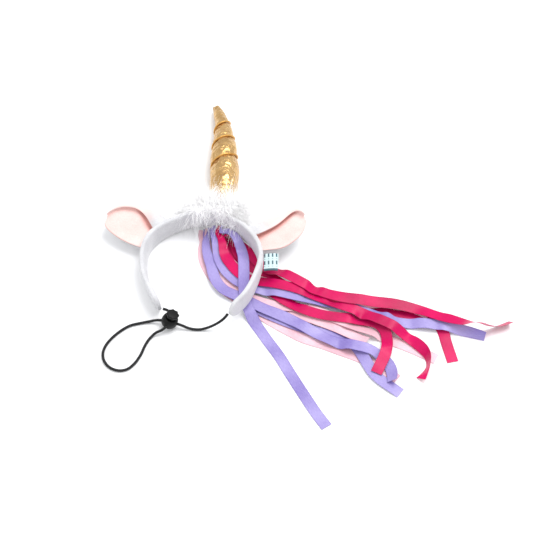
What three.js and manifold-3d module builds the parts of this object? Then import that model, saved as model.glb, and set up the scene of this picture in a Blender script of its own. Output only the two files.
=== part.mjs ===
// A unicorn headband for a dog, lying on a table: a padded strip bent to an open ring, a stuffed
// horn with gold cord in its spiral groove, a feather trim, two plush ears, a mane of twelve satin
// ribbons, and an elastic chin cord with a cord lock. Millimetres, +Z up, +Y the way the horn points.

import * as THREE from 'three';
import { mergeVertices } from 'three/addons/utils/BufferGeometryUtils.js';
import Module from 'manifold-3d';

const wasm = await Module();
wasm.setup();

// Sizes of the strip
const bandSpan = 116;
const bandDepth = 116;
const stripHeight = 25;
const stripThickness = 6;
const stripUnderside = 3.4;
const stripEndRound = 10;
const seatGap = 0.3;

// Sizes of the horn and its cord
const hornLength = 157;
const hornRadius = 15;
const hornTipDrop = 8;
const hornSeatDepth = 1.6;
const hornTurns = 7;
const hornGroove = 0.12;
const hornCordDiameter = 2.4;

// Sizes of the ears
const earLength = 52;
const earWidth = 44;
const earFoldRadius = 2.4;
const earCup = 3;
const earBackThickness = 1.6;
const earLiningThickness = 1;

// Sizes of the mane
const maneReach = 300;
const ribbonWidth = 11;
const ribbonThickness = 1;
const ribbonGap = 0.38;
const ribbonSlope = 0.7;
const ribbonStep = 8;
const settlePasses = 150;
const ribbonRootShare = 0.4;
const ribbonGatherRun = 40;
const stripRowShare = 0.125;

// Sizes of the feather trim
const trimDepth = 9;
const trimHeight = 22;
const trimLockLength = 36;
const trimLockRadius = 3.6;

// Sizes of the label, the elastic cord and its lock
const labelLength = 20;
const labelReach = 14;
const labelThickness = 1.2;
const cordDiameter = 2.7;
const cordClearance = 0.35;
const lockDiameter = 16;
const lockHeight = 11;
const buttonDiameter = 13;
const buttonHeight = 3.2;
const buttonTravel = 2.4;
const stemDiameter = 8.6;
const boreClearance = 0.3;

// The strip's middle line, from the left end over the crown to the right end: across and up as
// shares of the span and the depth, how far the horn props it, how far the mane lifts it, and how
// far its top edge leans out as a share of its height.
const stripRows = [
  { across: -0.345, up: -0.43, prop: 0, lift: 0, lean: 0.12 },
  { across: -0.41, up: -0.29, prop: 0, lift: 0, lean: 0.14 },
  { across: -0.465, up: -0.17, prop: 0, lift: 0, lean: 0.14 },
  { across: -0.495, up: -0.035, prop: 0, lift: 0, lean: 0.13 },
  { across: -0.5, up: 0.12, prop: 0, lift: 0, lean: 0.1 },
  { across: -0.465, up: 0.245, prop: 0.05, lift: 0, lean: 0.07 },
  { across: -0.38, up: 0.345, prop: 0.25, lift: 0, lean: 0.04 },
  { across: -0.27, up: 0.41, prop: 0.5, lift: 0, lean: 0.02 },
  { across: -0.16, up: 0.46, prop: 0.75, lift: 0, lean: 0 },
  { across: -0.03, up: 0.49, prop: 0.95, lift: 0, lean: 0 },
  { across: 0.13, up: 0.482, prop: 1, lift: 0, lean: 0 },
  { across: 0.25, up: 0.42, prop: 0.6, lift: 0.2, lean: 0 },
  { across: 0.36, up: 0.33, prop: 0.2, lift: 0.45, lean: 0 },
  { across: 0.44, up: 0.225, prop: 0, lift: 0.65, lean: 0 },
  { across: 0.49, up: 0.1, prop: 0, lift: 0.8, lean: 0.02 },
  { across: 0.5, up: -0.02, prop: 0, lift: 0.9, lean: 0.03 },
  { across: 0.475, up: -0.14, prop: 0, lift: 0.96, lean: 0.02 },
  { across: 0.425, up: -0.282, prop: 0, lift: 1, lean: 0 },
  { across: 0.365, up: -0.395, prop: 0, lift: 1, lean: 0 },
  { across: 0.245, up: -0.53, prop: 0, lift: 1, lean: 0 },
];

// Places along the strip, counted in rows of its table
const crownPlace = 10;
const hornPlace = 10.24;
const leftEarPlace = 5.5;
const rightEarPlace = 12.85;
const labelPlace = 14.9;
const trimStart = 7.9;
const trimEnd = 11.5;

// The horn's middle line and girth: sideways and radius as shares of its length and radius, and
// how much of the tip's drop it has taken.
const hornRows = [
  { along: 0, sideways: 0, drop: 0, girth: 0.55 },
  { along: 0.05, sideways: 0, drop: 0, girth: 0.72 },
  { along: 0.13, sideways: 0.003, drop: 0, girth: 0.86 },
  { along: 0.235, sideways: 0.006, drop: 0, girth: 0.95 },
  { along: 0.335, sideways: 0.008, drop: 0.02, girth: 1 },
  { along: 0.41, sideways: 0.008, drop: 0.04, girth: 0.98 },
  { along: 0.5, sideways: 0.006, drop: 0.08, girth: 0.94 },
  { along: 0.59, sideways: 0.003, drop: 0.12, girth: 0.87 },
  { along: 0.72, sideways: -0.004, drop: 0.3, girth: 0.66 },
  { along: 0.845, sideways: -0.02, drop: 0.55, girth: 0.47 },
  { along: 0.93, sideways: -0.045, drop: 0.8, girth: 0.36 },
  { along: 0.98, sideways: -0.06, drop: 0.95, girth: 0.25 },
  { along: 1, sideways: -0.066, drop: 1, girth: 0.12 },
];
const hornCordFrom = 1.6;
const hornCordTo = 4.7;

// The ears: along as a share of the ear's length; the near edge, the fold line on the far side and
// the edge of the flap that is folded over, as shares of its width; and how far it lifts.
const leftEarRows = [
  { along: -0.08, near: -0.4, fold: 0.44, flap: 0.08, lift: 0 },
  { along: 0.05, near: -0.41, fold: 0.51, flap: 0.14, lift: 0.01 },
  { along: 0.2, near: -0.4, fold: 0.57, flap: 0.3, lift: 0.02 },
  { along: 0.36, near: -0.39, fold: 0.6, flap: 0.5, lift: 0.03 },
  { along: 0.52, near: -0.36, fold: 0.6, flap: 0.52, lift: 0.04 },
  { along: 0.7, near: -0.3, fold: 0.53, flap: 0.46, lift: 0.06 },
  { along: 0.83, near: -0.24, fold: 0.42, flap: 0.35, lift: 0.08 },
  { along: 0.91, near: -0.16, fold: 0.27, flap: 0.2, lift: 0.1 },
  { along: 0.95, near: -0.07, fold: 0.12, flap: 0.04, lift: 0.11 },
];
const rightEarRows = [
  { along: -0.08, near: -0.38, fold: 0.31, flap: 0.04, lift: 0 },
  { along: 0.06, near: -0.42, fold: 0.3, flap: 0.03, lift: 0.01 },
  { along: 0.25, near: -0.48, fold: 0.3, flap: 0.05, lift: 0.02 },
  { along: 0.45, near: -0.5, fold: 0.33, flap: 0.1, lift: 0.03 },
  { along: 0.65, near: -0.42, fold: 0.39, flap: 0.2, lift: 0.04 },
  { along: 0.83, near: -0.32, fold: 0.42, flap: 0.32, lift: 0.06 },
  { along: 0.95, near: -0.2, fold: 0.38, flap: 0.3, lift: 0.08 },
  { along: 1.02, near: -0.08, fold: 0.28, flap: 0.2, lift: 0.09 },
  { along: 1.05, near: 0.03, fold: 0.17, flap: 0.09, lift: 0.1 },
];
const leftEarTurn = 21;
const rightEarTurn = -13;

// The mane, from the lowest ribbon to the top one. Root is where a ribbon is sewn to the crown, as
// a share of the strip's span; each place is right of the crown and near, towards the open side,
// as shares of the mane's reach, with the turn of the ribbon about its own length in degrees.
const ribbons = [
  {
    name: 'ribbon_pink_front', colour: 'pink', root: -0.125,
    route: [
      [-0.052, 0.06], [-0.053, 0.1], [-0.042, 0.147], [-0.017, 0.2], [0.017, 0.247], [0.063, 0.287],
      [0.109, 0.322], [0.15, 0.357], [0.217, 0.404], [0.284, 0.444], [0.342, 0.465], [0.4, 0.49],
      [0.462, 0.517], [0.524, 0.555], [0.576, 0.597],
    ],
  },
  {
    name: 'ribbon_lavender_low', colour: 'lavender', root: -0.088,
    route: [
      [-0.038, 0.06], [-0.033, 0.108], [-0.015, 0.165], [0.01, 0.22], [0.043, 0.265], [0.086, 0.3],
      [0.13, 0.332], [0.19, 0.365], [0.272, 0.402], [0.336, 0.424], [0.39, 0.438],
      [0.432, 0.458], [0.458, 0.492, 15], [0.478, 0.533, 20], [0.507, 0.583], [0.546, 0.62],
      [0.584, 0.648],
    ],
  },
  {
    name: 'ribbon_pink_salmon', colour: 'pink', root: 0.094,
    route: [
      [0.045, 0.055], [0.066, 0.095], [0.095, 0.137], [0.122, 0.172], [0.145, 0.21], [0.17, 0.255],
      [0.203, 0.3], [0.24, 0.335], [0.288, 0.363], [0.343, 0.387], [0.394, 0.41],
      [0.439, 0.436], [0.483, 0.467],
    ],
  },
  {
    name: 'ribbon_pink_broad', colour: 'pink', root: -0.075,
    route: [
      [-0.037, 0.061], [-0.032, 0.11], [-0.014, 0.167], [0.016, 0.22], [0.056, 0.26], [0.103, 0.291],
      [0.149, 0.311], [0.191, 0.323], [0.24, 0.328], [0.289, 0.338], [0.337, 0.354], [0.418, 0.389],
      [0.488, 0.419], [0.56, 0.45], [0.629, 0.482], [0.704, 0.522],
    ],
  },
  {
    name: 'ribbon_lavender_twist', colour: 'lavender', root: -0.056,
    route: [
      [-0.04, 0.061], [-0.037, 0.108], [-0.023, 0.157], [-0.007, 0.22], [0.02, 0.26], [0.073, 0.291],
      [0.116, 0.315], [0.15, 0.335], [0.207, 0.362], [0.259, 0.391], [0.31, 0.423, 10],
      [0.355, 0.45, -10], [0.396, 0.468], [0.437, 0.48], [0.475, 0.49], [0.515, 0.507],
      [0.546, 0.535], [0.559, 0.575, 20], [0.558, 0.613, 40],
    ],
  },
  {
    name: 'ribbon_magenta_turn', colour: 'magenta', root: 0.025,
    route: [
      [0.02, 0.058], [0.038, 0.11], [0.07, 0.15], [0.107, 0.188], [0.149, 0.234], [0.208, 0.294],
      [0.272, 0.337], [0.335, 0.362], [0.386, 0.372], [0.437, 0.378], [0.482, 0.383],
      [0.52, 0.395, 15], [0.544, 0.425, 20], [0.55, 0.462, 10], [0.543, 0.505], [0.526, 0.546],
      [0.51, 0.579],
    ],
  },
  {
    name: 'ribbon_magenta_far', colour: 'magenta', root: 0.056,
    route: [
      [0.04, 0.062], [0.068, 0.114], [0.1, 0.16], [0.148, 0.196], [0.224, 0.238], [0.306, 0.274],
      [0.403, 0.313], [0.496, 0.334], [0.581, 0.352], [0.66, 0.368],
      [0.706, 0.384, 20], [0.73, 0.412, 20], [0.738, 0.445], [0.747, 0.488], [0.757, 0.533],
    ],
  },
  {
    name: 'ribbon_pink_arc', colour: 'pink', root: 0.0,
    route: [
      [0.006, 0.086], [0.025, 0.131], [0.049, 0.164], [0.076, 0.19], [0.11, 0.216], [0.158, 0.234],
      [0.24, 0.264], [0.338, 0.296], [0.4, 0.313], [0.455, 0.321, -10], [0.504, 0.319, -15],
      [0.553, 0.316, -15], [0.602, 0.32, -15], [0.645, 0.336, -10], [0.69, 0.36],
    ],
  },
  {
    name: 'ribbon_lavender_long', colour: 'lavender', root: -0.025,
    route: [
      [-0.011, 0.065], [0.005, 0.139], [0.026, 0.188], [0.05, 0.217], [0.078, 0.24], [0.11, 0.256],
      [0.142, 0.264], [0.175, 0.27], [0.227, 0.284], [0.279, 0.298], [0.331, 0.31], [0.387, 0.324],
      [0.442, 0.34], [0.493, 0.358], [0.55, 0.377], [0.605, 0.388], [0.676, 0.395], [0.727, 0.402],
      [0.781, 0.416, 30], [0.831, 0.434, 55], [0.865, 0.448, 70],
    ],
  },
  {
    name: 'ribbon_magenta_curl', colour: 'magenta', root: 0.037,
    route: [
      [0.012, 0.075], [0.024, 0.13], [0.049, 0.174], [0.075, 0.206], [0.103, 0.226], [0.138, 0.237],
      [0.175, 0.244], [0.24, 0.26], [0.292, 0.279], [0.341, 0.302], [0.396, 0.328], [0.441, 0.346],
      [0.483, 0.366], [0.53, 0.39], [0.581, 0.419], [0.624, 0.449], [0.654, 0.481, 30],
      [0.674, 0.516, 60], [0.677, 0.547, 75], [0.667, 0.575, 60], [0.65, 0.6, 30],
    ],
  },
  {
    name: 'ribbon_magenta_top', colour: 'magenta', root: 0.112,
    route: [
      [0.06, 0.058], [0.086, 0.092], [0.112, 0.125], [0.135, 0.154], [0.16, 0.177], [0.187, 0.192],
      [0.228, 0.213], [0.27, 0.239], [0.322, 0.27], [0.371, 0.293], [0.423, 0.309, 10],
      [0.494, 0.318, 15], [0.572, 0.324, 15], [0.62, 0.334, 5], [0.675, 0.351], [0.738, 0.38],
      [0.794, 0.401, -20], [0.829, 0.412, -55], [0.858, 0.415, -65], [0.897, 0.41, -60],
      [0.93, 0.4, -50], [0.954, 0.389, -50],
    ],
  },
  {
    name: 'ribbon_lavender_free', colour: 'lavender', root: 0.062,
    route: [
      [0.043, 0.05], [0.066, 0.083], [0.082, 0.12], [0.087, 0.165], [0.088, 0.21], [0.089, 0.265],
      [0.097, 0.32], [0.116, 0.37], [0.146, 0.42], [0.173, 0.464], [0.2, 0.506], [0.238, 0.577],
      [0.278, 0.65], [0.317, 0.719], [0.349, 0.768],
    ],
  },
];
const ribbonRootRun = 7;

// The cord lock stands beside the strip's left end
const lockCentre = new THREE.Vector3(-30, -62, 8.2);
const lockAxis = new THREE.Vector3(0.34, 0.1, 0.935).normalize();
const stemFootHeight = -0.9;

// The elastic cord from the strip's right end, through the lock, round its loop, through the lock
// again and into the strip's left end, where it lies
const cordPoints = [
  [26.8, -62, 20.5], [23.2, -65, 17.4], [18.4, -66.4, 12.8], [13, -66.8, 8], [6.5, -67.2, 3.8],
  [0, -67.8, 1.9], [-6, -67.6, 1.6], [-12, -66.7, 2.6], [-17, -65.5, 4.6], [-21.5, -64.3, 5.7],
  [-26, -63.1, 5.8], [-30, -62, 5.8], [-34, -60.9, 5.8], [-38.5, -59.7, 5.6], [-44, -58.8, 4.2],
  [-50, -59, 2.4], [-58, -60.2, 1.5], [-69, -63.4, 1.5], [-80, -71.6, 1.5], [-88, -81, 1.5],
  [-92, -89, 1.5], [-93, -97, 1.5], [-90.5, -105, 1.5], [-85, -111, 1.5], [-77, -114, 1.5],
  [-69, -112.6, 1.5], [-62, -106, 1.5], [-56.5, -96, 1.5], [-53, -86, 1.5], [-48.6, -77.8, 1.8],
  [-43, -72.8, 3.6], [-37.2, -71.6, 6.6], [-32.8, -69, 9.2], [-30.6, -65.3, 10.1], [-29.4, -61.7, 10.2],
  [-28.9, -58, 10.3], [-29.8, -54.4, 10.9], [-32.8, -51.8, 11.8], [-36.6, -50.9, 12.4],
];
const frontStrandPoint = 11;
const backStrandPoint = 34;
const cordSteps = 78;

const up = new THREE.Vector3(0, 0, 1);

function mix(a, b, t) {
  return a + (b - a) * t;
}

// The value of one column of a table at a place that is counted in rows
function columnAt(rows, column, place) {
  const i = Math.min(Math.max(Math.floor(place), 0), rows.length - 2);
  return mix(rows[i][column], rows[i + 1][column], place - i);
}

// The value of one column at a share along, between the rows that hold it
function columnAlong(rows, column, along) {
  let i = 0;
  while (i < rows.length - 2 && rows[i + 1].along < along) i += 1;
  const t = (along - rows[i].along) / (rows[i + 1].along - rows[i].along);
  return mix(rows[i][column], rows[i + 1][column], Math.min(Math.max(t, 0), 1));
}

// A closed body from points and faces, turned so that its faces point out
function closedGeometry(points, faces) {
  let volume = 0;
  for (const [a, b, c] of faces) {
    volume += points[a].dot(new THREE.Vector3().crossVectors(points[b], points[c]));
  }
  const indices = faces.flatMap(([a, b, c]) => (volume > 0 ? [a, b, c] : [a, c, b]));
  const geometry = new THREE.BufferGeometry().setFromPoints(points);
  geometry.setIndex(indices);
  return geometry;
}

// A body through rings of points, with a flat or slightly domed end at each end
function loft(rings) {
  const n = rings[0].length;
  const points = rings.flat();
  const faces = [];
  for (let i = 0; i < rings.length - 1; i += 1) {
    for (let j = 0; j < n; j += 1) {
      const a = i * n + j;
      const b = i * n + ((j + 1) % n);
      faces.push([a, b, a + n], [b, b + n, a + n]);
    }
  }
  for (const [ring, first, flip] of [[rings[0], 0, true], [rings.at(-1), (rings.length - 1) * n, false]]) {
    const middle = ring.reduce((sum, p) => sum.add(p), new THREE.Vector3()).divideScalar(n);
    points.push(middle);
    const m = points.length - 1;
    for (let j = 0; j < n; j += 1) {
      const a = first + j;
      const b = first + ((j + 1) % n);
      faces.push(flip ? [m, b, a] : [m, a, b]);
    }
  }
  return closedGeometry(points, faces);
}

// A sheet with a thickness, from the points of its upper and its lower side
function sheet(upper, lower) {
  const rows = upper.length;
  const n = upper[0].length;
  const points = [...upper.flat(), ...lower.flat()];
  const below = rows * n;
  const faces = [];
  const quad = (a, b, c, d) => faces.push([a, b, c], [a, c, d]);
  for (let i = 0; i < rows - 1; i += 1) {
    for (let j = 0; j < n - 1; j += 1) {
      const a = i * n + j;
      quad(a, a + 1, a + n + 1, a + n);
      quad(below + a, below + a + n, below + a + n + 1, below + a + 1);
    }
  }
  for (let i = 0; i < rows - 1; i += 1) {
    const a = i * n;
    quad(a, a + n, below + a + n, below + a);
    const b = i * n + n - 1;
    quad(b, below + b, below + b + n, b + n);
  }
  for (let j = 0; j < n - 1; j += 1) {
    quad(j, below + j, below + j + 1, j + 1);
    const b = (rows - 1) * n + j;
    quad(b, b + 1, below + b + 1, below + b);
  }
  return closedGeometry(points, faces);
}

function toSolid(geometry) {
  const plain = geometry.clone();
  plain.deleteAttribute('normal');
  plain.deleteAttribute('uv');
  const merged = mergeVertices(plain, 1e-4);
  return new wasm.Manifold(new wasm.Mesh({
    numProp: 3,
    vertProperties: new Float32Array(merged.attributes.position.array),
    triVerts: new Uint32Array(merged.index.array),
  }));
}

function toGeometry(solid) {
  const mesh = solid.getMesh();
  const geometry = new THREE.BufferGeometry();
  geometry.setAttribute('position', new THREE.BufferAttribute(new Float32Array(mesh.vertProperties), 3));
  geometry.setIndex(new THREE.BufferAttribute(new Uint32Array(mesh.triVerts), 1));
  return geometry;
}

// What is left of a body when the crumbs that a cut has loosened are gone
function largestPiece(solid) {
  return solid.decompose().sort((a, b) => b.volume() - a.volume())[0];
}

function roundSection(diameter, sides) {
  const points = [];
  for (let i = 0; i < sides; i += 1) {
    const angle = (i / sides) * 2 * Math.PI;
    points.push(new THREE.Vector2(Math.cos(angle) * diameter / 2, Math.sin(angle) * diameter / 2));
  }
  return new THREE.Shape(points);
}

function tube(curve, diameter, sides, steps) {
  return new THREE.ExtrudeGeometry(roundSection(diameter, sides), { steps, extrudePath: curve });
}

// The mane

const stripCurve = new THREE.CatmullRomCurve3(
  stripRows.map((row) => new THREE.Vector3(row.across * bandSpan, row.up * bandDepth, 0)),
);
const lastPlace = stripRows.length - 1;

// The strip's middle point, its way along and its way out at a place
function stripAt(place) {
  const t = Math.min(Math.max(place / lastPlace, 0), 1);
  const along = stripCurve.getTangent(t);
  return {
    point: stripCurve.getPoint(t),
    along,
    out: new THREE.Vector3(-along.y, along.x, 0),
  };
}

const crown = stripAt(crownPlace);

// How high whatever lies on the table reaches, in square cells
const cellSize = 1;
const heights = new Map();
const cellKey = (x, y) => `${Math.round(x / cellSize)},${Math.round(y / cellSize)}`;

// One ribbon's middle line on the table, from its seam at the crown
function ribbonRoute(ribbon) {
  const seam = stripAt(crownPlace + ribbon.root / stripRowShare);
  const first = seam.point.clone().addScaledVector(seam.out, -(stripThickness / 2 + 4 * seatGap));
  const points = [first, first.clone().addScaledVector(seam.out, -ribbonRootRun)];
  const turns = [0, 0];
  for (const [right, near, turn = 0] of ribbon.route) {
    points.push(new THREE.Vector3(
      crown.point.x + right * maneReach,
      crown.point.y - near * maneReach,
      0,
    ));
    turns.push(turn);
  }
  return { curve: new THREE.CatmullRomCurve3(points, false, 'centripetal'), turns };
}

// Lays one ribbon on what lies there already, and returns its body. Its left and its right edge
// find their heights apart, so that a ribbon can lie slanted over the edge of another.
function layRibbon(ribbon) {
  const { curve, turns } = ribbonRoute(ribbon);
  const length = curve.getLength();
  const stations = Math.round(length / ribbonStep);
  const fine = Math.ceil(ribbonStep / (cellSize * 0.6));
  const frames = [];
  for (let i = 0; i <= stations * fine; i += 1) {
    const t = curve.getUtoTmapping(i / (stations * fine));
    const along = curve.getTangent(t).normalize();
    const place = t * (turns.length - 1);
    const k = Math.min(Math.floor(place), turns.length - 2);
    const turn = THREE.MathUtils.degToRad(mix(turns[k], turns[k + 1], place - k));
    const distance = (length * i) / (stations * fine);
    const gather = mix(ribbonRootShare, 1, Math.min(distance / ribbonGatherRun, 1));
    frames.push({
      point: curve.getPoint(t),
      side: new THREE.Vector3(-along.y, along.x, 0),
      reach: (Math.cos(turn) * ribbonWidth * gather) / 2,
      tilt: Math.sin(turn) * ribbonWidth,
    });
  }
  const half = ribbonThickness / 2;
  const rests = [];
  frames.forEach((frame, i) => {
    const k = Math.min(Math.floor(i / fine), stations - 1);
    const t = i / fine - k;
    const count = Math.ceil(frame.reach / (cellSize * 0.3));
    for (let j = -count; j <= count; j += 1) {
      const across = (j / count) * (frame.reach + cellSize * 0.8);
      const x = frame.point.x + frame.side.x * across;
      const y = frame.point.y + frame.side.y * across;
      rests.push({ key: cellKey(x, y), k, t, b: Math.min(Math.max((j / count + 1) / 2, 0), 1) });
    }
  });
  const touching = rests.filter(({ key }) => heights.has(key));
  const right = new Array(stations + 1).fill(half);
  const left = new Array(stations + 1).fill(half);
  const heightAt = ({ k, t, b }) => mix(mix(right[k], right[k + 1], t), mix(left[k], left[k + 1], t), b);
  const fall = (ribbonSlope * length) / stations;
  const settle = (edge) => {
    for (let i = 1; i <= stations; i += 1) edge[i] = Math.max(edge[i], edge[i - 1] - fall);
    for (let i = stations - 1; i >= 0; i -= 1) edge[i] = Math.max(edge[i], edge[i + 1] - fall);
  };
  // No edge goes higher than the whole ribbon would, were it laid level
  const level = new Array(stations + 1).fill(half);
  for (const { key, k } of touching) {
    const need = heights.get(key) + ribbonGap + half;
    level[k] = Math.max(level[k], need);
    level[k + 1] = Math.max(level[k + 1], need);
  }
  settle(level);
  const push = (rest) => {
    const need = heights.get(rest.key) + ribbonGap + half - heightAt(rest);
    if (need <= 0) return;
    const { k, t, b } = rest;
    const shares = [(1 - t) * (1 - b), t * (1 - b), (1 - t) * b, t * b];
    const scale = need / shares.reduce((sum, share) => sum + share * share, 0);
    right[k] = Math.min(level[k], right[k] + shares[0] * scale);
    right[k + 1] = Math.min(level[k + 1], right[k + 1] + shares[1] * scale);
    left[k] = Math.min(level[k], left[k] + shares[2] * scale);
    left[k + 1] = Math.min(level[k + 1], left[k + 1] + shares[3] * scale);
  };
  for (let pass = 0; pass < settlePasses; pass += 1) {
    const sink = Math.max(0, 0.3 * (1 - pass / (settlePasses * 0.6)));
    for (let i = 0; i <= stations; i += 1) {
      right[i] = Math.max(half, right[i] - sink);
      left[i] = Math.max(half, left[i] - sink);
    }
    touching.forEach(push);
    touching.reverse();
    settle(left);
    settle(right);
  }
  for (let i = 0; i <= stations; i += 1) {
    const { tilt } = frames[i * fine];
    if (tilt > 0) left[i] = Math.max(left[i], right[i] + tilt);
    if (tilt < 0) right[i] = Math.max(right[i], left[i] - tilt);
  }
  const tops = rests.map((rest) => [rest.key, heightAt(rest) + half]);
  for (const [key, top] of tops) heights.set(key, Math.max(heights.get(key) ?? 0, top));
  const upper = [];
  const lower = [];
  for (let i = 0; i <= stations; i += 1) {
    const { point, side, reach } = frames[i * fine];
    const across = side.clone().multiplyScalar(2 * reach).addScaledVector(up, left[i] - right[i]);
    const face = side.clone().multiplyScalar(right[i] - left[i]).addScaledVector(up, 2 * reach).normalize();
    const middle = new THREE.Vector3(point.x, point.y, (left[i] + right[i]) / 2);
    const corner = (a, f) => middle.clone().addScaledVector(across, a / 2).addScaledVector(face, f * half);
    upper.push([corner(-1, 1), corner(1, 1)]);
    lower.push([corner(-1, -1), corner(1, -1)]);
  }
  return sheet(upper, lower);
}

const ribbonBodies = ribbons.map((ribbon) => ({ ...ribbon, geometry: layRibbon(ribbon) }));

// How high the mane is under the strip's right arm
function maneHeight() {
  let height = 0;
  for (let place = crownPlace + 2; place <= lastPlace; place += 0.05) {
    const { point, out } = stripAt(place);
    for (let across = -stripThickness / 2; across <= stripThickness / 2; across += cellSize / 2) {
      const key = cellKey(point.x + out.x * across, point.y + out.y * across);
      height = Math.max(height, heights.get(key) ?? 0);
    }
  }
  return height + 2 * seatGap;
}

// The padded strip

const maneLift = maneHeight();
const crownProp = hornRadius + 3 * seatGap - stripHeight / 2;

function stripRaise(place) {
  return columnAt(stripRows, 'prop', place) * crownProp + columnAt(stripRows, 'lift', place) * maneLift;
}

// One section of the strip, grown by a margin
function stripSection(place, endShare, margin) {
  const { point, out } = stripAt(place);
  const half = (stripThickness / 2) * Math.sqrt(endShare) + margin;
  const flat = (stripUnderside / 2) * endShare;
  const tall = (stripHeight / 2) * endShare + margin;
  const shoulder = tall - 2.2 * endShare;
  const middle = stripRaise(place) + stripHeight / 2;
  const lean = columnAt(stripRows, 'lean', place);
  const outline = [
    [flat, -tall], [half * 0.9, -shoulder], [half, 0], [half * 0.9, shoulder], [flat, tall],
    [-flat, tall], [-half * 0.9, shoulder], [-half, 0], [-half * 0.9, -shoulder], [-flat, -tall],
  ];
  return outline.map(([across, rise]) => point.clone()
    .addScaledVector(out, across + lean * rise)
    .addScaledVector(up, middle + rise));
}

function strip(margin) {
  const stripLength = stripCurve.getLength();
  const distances = [0, 0.04, 0.16, 0.36, 0.66, 1].map((share) => share * stripEndRound);
  const steps = 40;
  const run = stripLength - 2 * stripEndRound;
  const stations = [
    ...distances.slice(0, -1),
    ...Array.from({ length: steps + 1 }, (_, i) => stripEndRound + (run * i) / steps),
    ...distances.slice(0, -1).reverse().map((d) => stripLength - d),
  ];
  return loft(stations.map((distance) => {
    const place = stripCurve.getUtoTmapping(distance / stripLength) * lastPlace;
    const fromEnd = Math.min(distance, stripLength - distance) / stripEndRound;
    const endShare = fromEnd >= 1 ? 1 : Math.sqrt(Math.max(1 - (1 - fromEnd) ** 2, 0.08));
    return stripSection(place, endShare, margin);
  }));
}

const stripRoom = toSolid(strip(seatGap));

// The horn

const hornFoot = stripAt(hornPlace);
hornFoot.point.addScaledVector(hornFoot.out, stripThickness / 2 - hornSeatDepth);
const hornHeight = stripRaise(hornPlace) + stripHeight / 2;
const hornLine = new THREE.CatmullRomCurve3(hornRows.map((row) => new THREE.Vector3(
  hornFoot.point.x + row.sideways * hornLength,
  hornFoot.point.y + row.along * hornLength,
  hornHeight - row.drop * hornTipDrop,
)));

// The horn's middle line and the two ways across it at a share of its length
function hornAt(along) {
  let i = 0;
  while (i < hornRows.length - 2 && hornRows[i + 1].along < along) i += 1;
  const between = (along - hornRows[i].along) / (hornRows[i + 1].along - hornRows[i].along);
  const t = Math.min((i + between) / (hornRows.length - 1), 1);
  const way = hornLine.getTangent(t);
  const left = new THREE.Vector3(-way.y, way.x, 0).normalize();
  const top = new THREE.Vector3().crossVectors(way, left).negate();
  if (top.z < 0) top.negate();
  return { middle: hornLine.getPoint(t), left, top };
}

// A turn of the spiral counts from the left side, over the top
function hornAlong(turn) {
  return 1 - (1 - Math.min(turn / hornTurns, 1)) ** 1.6;
}

function hornPoint(turn, radiusOf) {
  const along = hornAlong(turn);
  const { middle, left, top } = hornAt(along);
  const angle = turn * 2 * Math.PI;
  const radius = radiusOf(along);
  return middle.clone()
    .addScaledVector(left, Math.cos(angle) * radius)
    .addScaledVector(top, Math.sin(angle) * radius);
}

const hornGirth = (along) => columnAlong(hornRows, 'girth', along) * hornRadius;
const hornSides = 16;
const hornRowsPerTurn = 4;

// The stuffed horn is one spiral of faces, so that the groove is a line of its mesh
function horn(margin, groove) {
  const total = hornTurns * hornRowsPerTurn;
  const points = [];
  const index = (row, side) => {
    const turns = Math.floor(side / hornSides);
    return (row + turns * hornRowsPerTurn) * hornSides + (side % hornSides);
  };
  for (let row = 0; row <= total; row += 1) {
    for (let side = 0; side < hornSides; side += 1) {
      const share = side / hornSides;
      const turn = row / hornRowsPerTurn + share;
      const grooved = row % hornRowsPerTurn === 0 && turn > hornCordFrom - 0.1 && turn < hornCordTo + 0.1;
      const swell = grooved ? 1 - groove : 1 + groove * 0.25;
      const along = hornAlong(turn);
      const { middle, left, top } = hornAt(along);
      const angle = share * 2 * Math.PI;
      const radius = hornGirth(along) * swell + margin;
      points.push(middle.clone()
        .addScaledVector(left, Math.cos(angle) * radius)
        .addScaledVector(top, Math.sin(angle) * radius));
    }
  }
  const faces = [];
  const topRow = total - hornRowsPerTurn;
  for (let row = 0; row < topRow; row += 1) {
    for (let side = 0; side < hornSides; side += 1) {
      const a = index(row, side);
      const b = index(row, side + 1);
      const c = index(row + 1, side + 1);
      const d = index(row + 1, side);
      faces.push([a, b, c], [a, c, d]);
    }
  }
  // Each end is closed from its middle, over the step that the spiral leaves there
  const close = (row, away, flip) => {
    const rim = [];
    for (let side = 0; side <= hornSides; side += 1) rim.push(index(row, side));
    for (let step = hornRowsPerTurn - 1; step > 0; step -= 1) rim.push(index(row + step, 0));
    const middle = rim.reduce((sum, i) => sum.add(points[i]), new THREE.Vector3()).divideScalar(rim.length);
    points.push(middle.addScaledVector(new THREE.Vector3(0, 1, 0), away));
    const m = points.length - 1;
    rim.forEach((a, i) => {
      const b = rim[(i + 1) % rim.length];
      faces.push(flip ? [m, b, a] : [m, a, b]);
    });
  };
  close(0, -margin, true);
  close(topRow, margin, false);
  const used = [...new Set(faces.flat())];
  const renumber = new Map(used.map((old, i) => [old, i]));
  return closedGeometry(used.map((i) => points[i]), faces.map((face) => face.map((i) => renumber.get(i))));
}

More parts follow.
